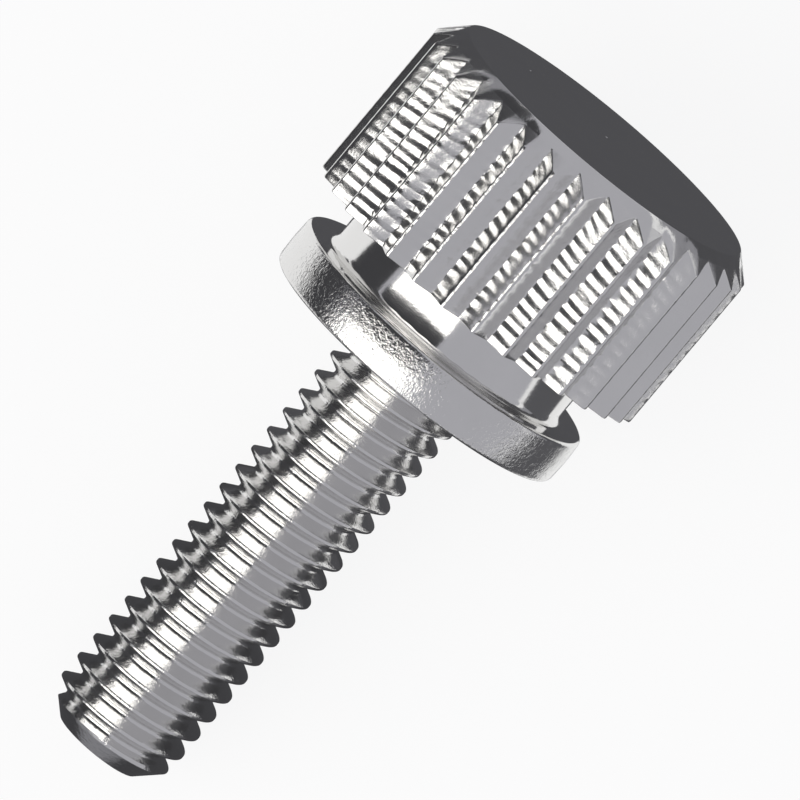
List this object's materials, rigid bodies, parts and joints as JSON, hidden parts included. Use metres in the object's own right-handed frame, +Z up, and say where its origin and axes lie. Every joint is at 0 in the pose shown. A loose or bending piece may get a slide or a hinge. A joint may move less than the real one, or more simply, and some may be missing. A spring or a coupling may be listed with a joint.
{
  "type": "thumb screw",
  "caption": "One-piece metal thumb screw with a knurled round head, a narrow neck, a collar and a threaded shank, tightened by hand.",
  "frame": {"origin": "on the flat surface the screw lies on, below the middle of its outline", "axes": "+Z up from that surface, +X along the lying screw towards the head, Y across it; the screw's own axis lies in the XZ plane, with the tip lower than the head"},
  "size_m": [0.0166, 0.008, 0.0085],
  "materials": {
    "plated_metal": "bright nickel plating"
  },
  "bodies": {
    "root": {"thumb_screw": "plated_metal"}
  },
  "joints": []
}
